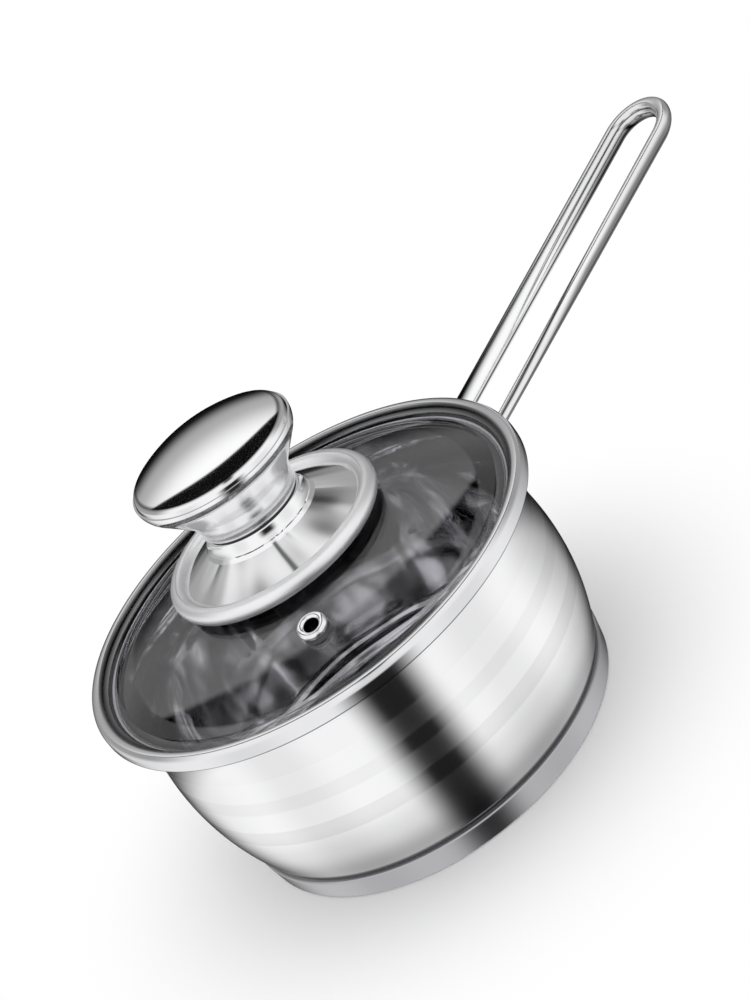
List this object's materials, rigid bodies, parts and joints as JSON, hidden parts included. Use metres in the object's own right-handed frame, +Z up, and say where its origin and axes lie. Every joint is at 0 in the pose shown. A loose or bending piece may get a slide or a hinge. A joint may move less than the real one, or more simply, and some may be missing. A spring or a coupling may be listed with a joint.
{
  "type": "saucepan",
  "caption": "Stainless saucepan with a bellied body, capsule base, long open loop handle and a domed glass lid with steel rim band, steam vent and flared metal knob.",
  "frame": {"origin": "centre of the flat underside of the base, on the axis of the pan", "axes": "+Z is up along the axis of the pan, +X runs out along the handle, +Y is to the left seen from the pan looking along the handle"},
  "size_m": [0.298, 0.1702, 0.1466],
  "materials": {
    "satin_steel": "stainless steel, polished body with soft satin bands",
    "polished_steel": "mirror polished stainless steel",
    "band_steel": "bright polished rim band",
    "knob_steel": "mirror polished stainless steel",
    "fastener_steel": "plain steel",
    "aluminium": "raw aluminium",
    "lid_glass": "clear tempered glass",
    "clear_silicone": "translucent silicone",
    "black_plastic": "black heat resisting plastic"
  },
  "bodies": {
    "pan": {"pan_shell": "satin_steel", "base_core": "aluminium", "base_cap": "satin_steel", "handle_bracket": "satin_steel", "handle_loop": "polished_steel"},
    "lid": {"lid_glass": "lid_glass", "lid_band": "band_steel", "vent_eyelet": "polished_steel", "vent_washer": "fastener_steel", "vent_gasket": "clear_silicone", "knob_skirt": "knob_steel", "skirt_gasket": "clear_silicone", "knob_sleeve": "fastener_steel", "knob_spacer": "black_plastic", "knob_cup": "knob_steel", "knob_cap": "knob_steel", "knob_bridge": "fastener_steel", "knob_nut": "fastener_steel", "knob_screw": "fastener_steel", "screw_washer": "fastener_steel", "glass_gasket": "clear_silicone"}
  },
  "joints": [
    {"name": "lid_lift", "type": "slide", "parent": "pan", "child": "lid", "axis": [0, 0, 1], "range_m": [0, 0.12]}
  ]
}
